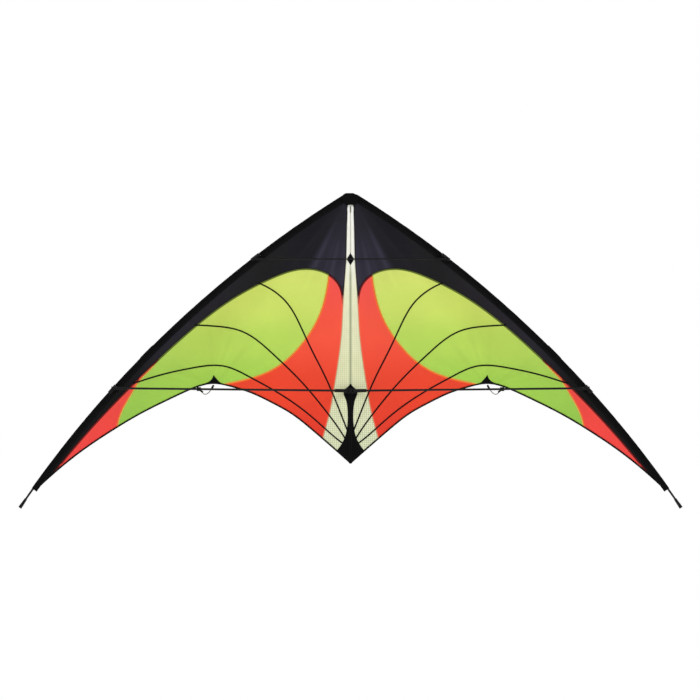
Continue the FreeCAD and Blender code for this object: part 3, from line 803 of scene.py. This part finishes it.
def sweep_bow(name, profile, low, high, material, bulge=None, step=4.0):
    """A closed profile of (radius, y) points carried along the bow from the angle low to high, capped."""
    count = max(4, int((high - low) * AXIS_R / step))
    verts, uv = [], []
    n = len(profile)
    sides = [math.dist(profile[i], profile[(i + 1) % n]) for i in range(n)]
    lengths = np.concatenate([[0], np.cumsum(sides)])[:-1]
    for i in range(count + 1):
        a = low + (high - low) * i / count
        for j, (r, y) in enumerate(profile):
            if bulge:
                r, y = bulge(a, r, y, i / count)
            x, z = on_bow(a, r)
            verts.append((x, y, z))
            uv.append((a * AXIS_R, lengths[j]))
    faces = []
    for i in range(count):
        for j in range(n):
            k = (j + 1) % n
            faces.append((i * n + j, i * n + k, (i + 1) * n + k, (i + 1) * n + j))
    faces.append(tuple(range(n - 1, -1, -1)))
    faces.append(tuple(count * n + j for j in range(n)))
    pair = mirrored(name, verts, faces, uv, {}, material)
    for o in pair:
        MADE[o.name] = o
        make_outward(o)
    return pair


def make_outward(o):
    """Turn all faces of a closed mesh to look outwards."""
    bm = bmesh.new()
    bm.from_mesh(o.data)
    bmesh.ops.recalc_face_normals(bm, faces=bm.faces)
    bm.to_mesh(o.data)
    bm.free()


SLEEVE_R, SLEEVE_TURN = 3.7, 152


def closed_profile(half):
    """A profile from its back half, as distances in from the edge and from the tube's axis in depth."""
    return [(R - r, LE_Y + y) for r, y in half] + [(R - r, LE_Y - y) for r, y in reversed(half)]


def sleeve_profile():
    """Tube around the rod that closes into a flat sewn hem."""
    turns = [math.radians(SLEEVE_TURN * (i / 9 - 1)) for i in range(19)]
    around = [(AXIS_R + SLEEVE_R * math.cos(t), LE_Y + SLEEVE_R * math.sin(t)) for t in turns]
    return around + closed_profile([(8.1, 1.15), (9.4, 0.8), (12.0, 0.72), (14.2, 0.8), (14.9, 0.6)])


def loose(seed):
    """A sleeve's own slackness: the tube part swells and narrows along its length."""

    def bulge(a, r, y, share):
        along = a * AXIS_R
        slow = noise.noise(Vector((along * 0.035 + seed, 0, seed)))
        quick = noise.noise(Vector((along * 0.11, y * 0.25, seed * 3.1)))
        k = 1 + 0.05 * slow + 0.05 * quick
        if r - AXIS_R > -4:
            return AXIS_R + (r - AXIS_R) * k - 0.15, LE_Y + (y - LE_Y) * (k - 0.02)
        return r, y + 0.12 * quick

    return bulge


def pinched(a, r, y, share):
    """The wear patch draws in towards both of its ends."""
    k = 0.9 + 0.1 * min(1, 14 * share, 14 * (1 - share))
    return AXIS_R + (r - AXIS_R) * k, LE_Y + (y - LE_Y) * k


# Angles of the sleeve's two ends, the two connectors and the ferrule; half a connector's opening.
NOSE, TIP = angle_at(SLEEVE_NOSE_X), angle_at(765.6)
UPPER, LOWER, MIDDLE = angle_at(228.0, AXIS_R), angle_at(571.0, AXIS_R), angle_at(487.5, AXIS_R)
GAP = 12.5 / AXIS_R
HEM_LAP = 0.0004
PROFILE = sleeve_profile()
HEM = closed_profile([(6.4, 0.7), (9.4, 0.8), (12, 0.75), (14.2, 0.8), (14.9, 0.55)])
for name, low, high, seed in (
    ("lower_sleeve", TIP, LOWER - GAP, 1.3),
    ("middle_sleeve", LOWER + GAP, UPPER - GAP, 4.7),
    ("upper_sleeve", UPPER + GAP, NOSE, 8.2),
):
    for o in sweep_bow(name, PROFILE, low, high, MAT["sleeve"], loose(seed)):
        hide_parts(o.name.removesuffix("_cloth"))
    if name != "upper_sleeve":
        sweep_bow(name + "_hem", HEM, high - HEM_LAP, high + 2 * GAP + HEM_LAP, MAT["sleeve"])

PATCH_R, PATCH_TURN, PATCH_HALF = 4.5, 158, 22 / AXIS_R
turns = [math.radians(PATCH_TURN * (i / 10 - 1)) for i in range(21)]
wrap = [(AXIS_R + PATCH_R * math.cos(t), LE_Y + PATCH_R * math.sin(t)) for t in turns]
patches = sweep_bow(
    "ferrule_patch", wrap, MIDDLE - PATCH_HALF, MIDDLE + PATCH_HALF, MAT["webbing"], pinched, step=1.5
)
for o in patches:
    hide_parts(o.name.removesuffix("_cloth"))


def strap(name, path, widths, thick, material):
    """A woven strap that follows a path of (y, z) points at x = 0, with its own width at each."""
    path = [np.array(p, float) for p in path]
    verts, uv, along = [], [], 0.0
    cols = 8
    for i, p in enumerate(path):
        a, b = path[max(i - 1, 0)], path[min(i + 1, len(path) - 1)]
        d = (b - a) / np.linalg.norm(b - a)
        normal = np.array([-d[1], d[0]])
        along += 0 if i == 0 else float(np.linalg.norm(p - path[i - 1]))
        for side in (0, 1):
            for j in range(cols + 1):
                t = 2 * j / cols - 1
                edge = 1 - 0.35 * max(0, abs(t) - 0.82) / 0.18
                off = (thick / 2) * (1 if side else -1) * edge
                q = p + normal * off
                across = t * widths[i][1 if t > 0 else 0]
                verts.append((across, q[0], q[1]))
                uv.append((across, along))
    ring = 2 * (cols + 1)
    order = list(range(cols + 1)) + list(range(2 * cols + 1, cols, -1))
    faces = []
    for i in range(len(path) - 1):
        for a, b in zip(order, order[1:] + order[:1]):
            faces.append((i * ring + a, i * ring + b, (i + 1) * ring + b, (i + 1) * ring + a))
    faces.append(tuple(reversed(order)))
    faces.append(tuple((len(path) - 1) * ring + a for a in order))
    o = add_mesh(name, np.array(verts) / 1000, faces, material)
    set_uv(o, np.array(uv) / 1000)
    make_outward(o)
    return o


# The nose strap's path, as (y, z): up the front, over the spine's top end and down the back.
FRONT_Y, TOP_Z, BACK_Y = 2.6, 473.95, 16.8
nose_path = [(FRONT_Y, 446 + 2.2 * i) for i in range(12)]
nose_path += [(2.95, 471.6), (3.6, 473.0), (5.2, 473.9)]
nose_path += [(7.5 + 1.6 * i, TOP_Z) for i in range(4)]
nose_path += [(14.4, 473.6), (15.8, 472.6), (16.6, 470.8)]
nose_path += [(BACK_Y, 468.5 - 2.6 * i) for i in range(13)]
# Heights, and how far the strap reaches to each side there.
LEFT_EDGE = ([446, 454, 463, 470, 471.6, 473.5], [12, 17.5, 20.5, 18.5, 16, 14])
RIGHT_EDGE = ([446, 454, 463, 466.6, 469.5, 470.8, 472.5, 473.5], [12, 18, 24, 23.5, 18.5, 14.7, 10, 7.8])
nose_width = []
for y, z in nose_path:
    if y < FRONT_Y + 0.4:
        nose_width.append((np.interp(z, *LEFT_EDGE), np.interp(z, *RIGHT_EDGE)))
    elif z > 472 and y < 8:
        fold = float(ease(y, 3.4, 8))
        nose_width.append((14 - 9 * fold, 8.6 - 3.6 * fold))
    else:
        nose_width.append((5, 5))
nose = strap("nose_webbing_cloth", nose_path, nose_width, 1.15, MAT["webbing"])
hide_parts("nose_webbing")
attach(nose, "centre")


def ring_faces(rings, sides):
    """Faces between neighbouring rings of points."""
    faces = []
    for k in range(rings - 1):
        for i in range(sides):
            j = (i + 1) % sides
            faces.append((k * sides + i, k * sides + j, (k + 1) * sides + j, (k + 1) * sides + i))
    return faces


# The small diamond on the spine, raised in its middle, its edge stitched down.
DIAMOND_Z, HALF_WIDE, HALF_TALL, DIAMOND_SIDES = 316.0, 9, 15, 32
EDGE_Y, RAISED = 6.7, 0.3
shares = [0.0, 0.35, 0.7, 0.9, 1.0]
diamond_verts = []
for s in shares:
    for i in range(DIAMOND_SIDES):
        t = 2 * math.pi * i / DIAMOND_SIDES
        m = abs(math.cos(t)) / HALF_WIDE + abs(math.sin(t)) / HALF_TALL
        x, z = s * math.cos(t) / m, s * math.sin(t) / m
        diamond_verts.append((x, EDGE_Y - RAISED * (1 - s**4), DIAMOND_Z + z))
diamond_verts = np.array(diamond_verts) / 1000
diamond_faces = ring_faces(len(shares), DIAMOND_SIDES)
diamond = add_mesh("spine_patch_cloth", diamond_verts, diamond_faces, MAT["webbing"])
set_uv(diamond, diamond_verts[:, [0, 2]])
make_outward(diamond)
weld = diamond.modifiers.new("weld", "WELD")
weld.merge_threshold = 1e-5
shell = diamond.modifiers.new("thickness", "SOLIDIFY")
shell.thickness, shell.offset = 0.0003, -1
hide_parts("spine_patch")
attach(diamond, "centre")

# The tail pocket, as (height, radius): a sewn cup round the spine with a rolled lip and a flattened foot.
SPINE_Y, CUP_SIDES, CUP_R, LIP_Z = 12.6, 28, 4.1, -150
stations = [
    (-174.6, 0.2), (-174.9, 2.4), (-174.2, 3.6), (-172, 4.1), (-166, 4.15), (-158, 4.05),
    (-151, 4.15), (-147.6, 4.2), (-147.0, 3.9), (-147.4, 3.35), (-152, 3.2),
]
cup_verts = []
for z, r in stations:
    for i in range(CUP_SIDES):
        t = 2 * math.pi * i / CUP_SIDES
        uneven = r * (1 + 0.012 * math.sin(5 * t)) if z < LIP_Z else r
        cup_verts.append((uneven * math.cos(t), SPINE_Y + uneven * math.sin(t), z))
cup_faces = ring_faces(len(stations), CUP_SIDES) + [tuple(range(CUP_SIDES - 1, -1, -1))]
pocket = add_mesh("tail_pocket_cloth", np.array(cup_verts) / 1000, cup_faces, MAT["webbing"])
set_uv(pocket, [(CUP_R * math.atan2(y - SPINE_Y, x) / 1000, z / 1000) for x, y, z in cup_verts])
make_outward(pocket)
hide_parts("tail_pocket")
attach(pocket, "centre")

# ---------------------------------------------------------------- stitching
stitch_verts, stitch_faces = [], []
THREAD_WIDE, THREAD_HIGH = 0.42, 0.34


def stitch(a, b):
    """One thread: a short, low, rounded bar between two points on the cloth."""
    a, b = np.array(a, float), np.array(b, float)
    d = (b - a) / np.linalg.norm(b - a)
    up = np.array([0, -1.0, 0])
    side = np.cross(d, up)
    side /= np.linalg.norm(side)
    k = len(stitch_verts)
    for s in (0.0, 0.5, 1.0):
        p, h = a + (b - a) * s, THREAD_HIGH if s == 0.5 else THREAD_HIGH * 0.25
        half = side * THREAD_WIDE / 2
        stitch_verts.extend([p - half, p + up * h, p + half, p - up * 0.1])
    for i in range(2):
        for j in range(4):
            m = (j + 1) % 4
            stitch_faces.append((k + i * 4 + j, k + i * 4 + m, k + (i + 1) * 4 + m, k + (i + 1) * 4 + j))
    stitch_faces.extend([(k, k + 1, k + 2, k + 3), (k + 8, k + 11, k + 10, k + 9)])


def seam_line(points, lift, pitch=3.0, length=2.2, zigzag=0.0):
    """Stitches along a line of (x, z) points on the sail."""
    points = np.asarray(points, float)
    along = np.concatenate([[0], np.cumsum(np.linalg.norm(np.diff(points, axis=0), axis=1))])
    count = int(along[-1] / pitch)
    for i in range(count):
        ends = []
        for k, s in enumerate((i * pitch, i * pitch + length)):
            x, z = np.interp(s, along, points[:, 0]), np.interp(s, along, points[:, 1])
            if zigzag:
                q = min(s + 0.5, along[-1])
                dx, dz = np.interp(q, along, points[:, 0]) - x, np.interp(q, along, points[:, 1]) - z
                norm = math.hypot(dx, dz) or 1
                side = zigzag * (1 if (i + k) % 2 else -1)
                x, z = x - dz / norm * side, z + dx / norm * side
            ends.append((x, float(front(x, z)) - lift, z))
        stitch(*ends)


ON_PATCH, ON_SAIL = 0.78, 0.26
for node, by in (
    ("tail_patch", 2.0), ("standoff_patch", 1.5), ("upper_rib", 0.8), ("middle_rib", 0.8),
    ("lower_rib", 0.8), ("trailing_edge_binding", 0.9),
):
    line = inset(resample(loop_of(node), 2.0), by)
    line = line[line[:, 0] > 1.5]
    seam_line(line, ON_PATCH)
for a, b in (
    ("main_panel", "inner_panel"), ("main_panel", "tip_panel"), ("main_panel", "leading_edge_panel"),
    ("inner_panel", "leading_edge_panel"), ("tip_panel", "leading_edge_panel"),
):
    line = inset(resample(loop_of(a), 2.0), 1.6)
    other = tree_of(resample(loop_of(b), 1.0))
    near = distance(line, other) < 2.6
    run = []
    for i in range(len(line) + 1):
        if i < len(line) and near[i]:
            run.append(line[i])
        else:
            if len(run) > 4:
                seam_line(run, ON_SAIL, pitch=3.2, length=2.3, zigzag=0.5)
            run = []

# The sleeve's hem: a straight row that stops at the connector openings, and a zigzag row that runs on.
HEM_PITCH, HEM_STITCH, HEM_FRONT = 3.2, 2.4, LE_Y - 0.84
STRAIGHT_ROW, ZIGZAG_ROW, ZIGZAG = R - 8.9, R - 12.6, 0.9
for radius, zigzag in ((STRAIGHT_ROW, 0.0), (ZIGZAG_ROW, ZIGZAG)):
    a = TIP + 0.001
    while a < NOSE - 0.002:
        side = zigzag if int(a * AXIS_R / HEM_PITCH) % 2 else -zigzag
        x0, z0 = on_bow(a, radius - side)
        x1, z1 = on_bow(a + HEM_STITCH / AXIS_R, radius + side)
        clear = all(abs(a - c) > GAP for c in (UPPER, LOWER))
        if clear or radius == ZIGZAG_ROW:
            stitch((x0, HEM_FRONT, z0), (x1, HEM_FRONT, z1))
        a += HEM_PITCH / AXIS_R
stitch_uv = np.array(stitch_verts)[:, [0, 2]]
for o in mirrored("stitching", stitch_verts, stitch_faces, stitch_uv, {}, MAT["thread"]):
    MADE[o.name] = o
    make_outward(o)

# ---------------------------------------------------------------- what each piece rides on, its finish
SLOTS = {
    "main_panel": "green_ripstop", "inner_panel": "inner_red_ripstop", "tip_panel": "tip_red_ripstop",
    "leading_edge_panel": "black_ripstop", "centre_panel": "cream_scrim", "tail_patch": "webbing",
    "standoff_patch": "webbing", "ferrule_patch": "webbing", "stitching": "edge_tape",
}
# Pieces that reach the spine keep their transform baked in and ride on no body; the others ride on their
# wing.
CROSSING = (
    "centre_panel", "leading_edge_panel", "tail_patch", "trailing_edge_binding", "stitching",
    "upper_rib", "middle_rib", "lower_rib",
)
for name, o in MADE.items():
    side, piece = name.removesuffix("_cloth").split("_", 1)
    SLOTS.get(piece, "sleeve_cloth" if "sleeve" in piece else "edge_tape")
    if piece in CROSSING:
        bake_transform(o)
    else:
        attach(o, f"{side}_wing")


def pieces(side, *names):
    """Pieces made above, on one wing."""
    return [MADE[f"{side}_{name}_cloth"] for name in names]


RIDING = {
    "main_panel": (
        "upper_rib", "middle_rib", "lower_rib", "trailing_edge_binding", "standoff_patch", "stitching",
    ),
    "leading_edge_panel": (
        "upper_sleeve", "middle_sleeve", "lower_sleeve", "middle_sleeve_hem", "lower_sleeve_hem",
        "ferrule_patch",
    ),
    "centre_panel": ("tail_patch",),
}
FLAT_SIZES = (
    ("main_panel", (0.54, 0.42), 0.0894),
    ("inner_panel", (0.30, 0.42), 0.0412),
    ("tip_panel", (0.33, 0.065), 0.0093),
    ("leading_edge_panel", (1.00, 0.13), 0.0476),
    ("centre_panel", (0.07, 0.64), 0.0170),
)
for side in ("left", "right"):
    for panel, flat, area in FLAT_SIZES:
        extra = {"with_pieces": pieces(side, *RIDING[panel])} if panel in RIDING else {}

FINISH = {
    "carbon": ("spine", "upper_leading_edge", "lower_leading_edge", "lower_spreader", "upper_spreader"),
    "glass_rod": ("standoff_rod", "leading_edge_ferrule"),
    "vinyl": (
        "centre_t", "t_arm", "lower_connector", "upper_connector", "standoff_clip", "standoff_socket",
        "tip_nock",
    ),
}
for node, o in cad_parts.items():
    piece = node.split("_", 1)[1] if node.startswith(("left_", "right_")) else node
    for key, names in FINISH.items():
        if piece in names:
            for s in o.material_slots:
                s.material = MAT[key]

# ---------------------------------------------------------------- floor
FLOOR_R, FLOOR_Z, FLOOR_SIDES = 4.5, -0.95, 96
floor_look = Nodes("floor")
speck = floor_look.noise(floor_look.place()[0], 4.0, 3.0)
floor_colour = floor_look.mix(speck, srgb(250, 250, 250), srgb(253, 253, 253))
floor_look.finish(floor_colour, floor_look.span(speck, 0.3, 0.7, 0.85, 0.95))
turns = [2 * math.pi * i / FLOOR_SIDES for i in range(FLOOR_SIDES)]
floor_verts = [(FLOOR_R * math.cos(t), FLOOR_R * math.sin(t), FLOOR_Z) for t in turns]
floor = add_mesh("floor", floor_verts, [tuple(range(FLOOR_SIDES))], floor_look.mat, smooth=False)
floor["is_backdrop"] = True

low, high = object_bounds()
{"cad": [list(cad_low), list(cad_high)], "visual": [list(low), list(high)]}
